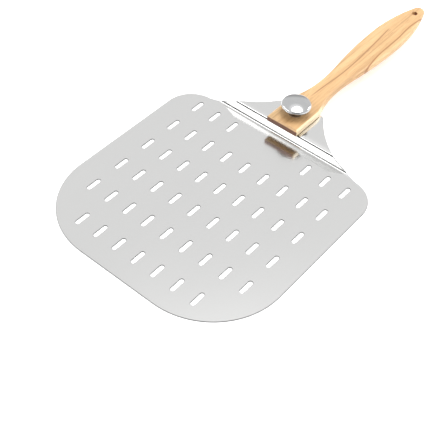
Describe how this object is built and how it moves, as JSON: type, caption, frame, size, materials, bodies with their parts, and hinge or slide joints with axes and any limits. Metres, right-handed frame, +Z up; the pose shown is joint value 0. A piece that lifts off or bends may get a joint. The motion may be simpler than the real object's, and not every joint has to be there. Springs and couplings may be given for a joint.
{
  "type": "folding pizza peel",
  "caption": "Slotted steel pizza peel with a raised tab and a flat wooden handle that folds about a bolt under a mushroom clamping knob.",
  "frame": {"origin": "on the surface that the blade lies on, below the middle of the whole length and on the centre line", "axes": "+Y from the blade's front edge towards the handle's tip, +Z up out of the blade's upper face, +X to the right when looking along +Y"},
  "size_m": [0.306, 0.6424, 0.0451],
  "materials": {
    "blade_steel": "bright cold-rolled stainless sheet, softly mirrored",
    "bolt_steel": "zinc-plated steel, satin",
    "fibre": "pressed fibre, matt",
    "handle_wood": "oiled light hardwood with brown grain lines, satin",
    "insert_brass": "turned brass",
    "knob_chrome": "polished chrome plate"
  },
  "bodies": {
    "blade_body": {"blade": "blade_steel", "pivot_bolt": "bolt_steel", "friction_washer": "fibre"},
    "handle_body": {"handle": "handle_wood", "handle_bush": "bolt_steel"},
    "washer_body": {"cover_washer": "bolt_steel", "spring_washer": "bolt_steel"},
    "knob_body": {"knob_insert": "insert_brass", "knob_core": "knob_chrome", "knob_cap": "knob_chrome"}
  },
  "joints": [
    {"name": "handle_fold", "type": "hinge", "parent": "blade_body", "child": "handle_body", "pos_m": [0, 0.00825, 0.02175], "axis": [0, 0, 1], "continuous": true},
    {"name": "knob_turn", "type": "hinge", "parent": "blade_body", "child": "washer_body", "pos_m": [0, 0.00825, 0.0265], "axis": [0, 0, 1], "range_deg": [0, 720]},
    {"name": "knob_lift", "type": "slide", "parent": "washer_body", "child": "knob_body", "axis": [0, 0, 1], "range_m": [0, 0.002]}
  ],
  "couplings": [
    {"joint": "knob_lift", "follows": "knob_turn", "m_per_rad": 0.000159}
  ]
}
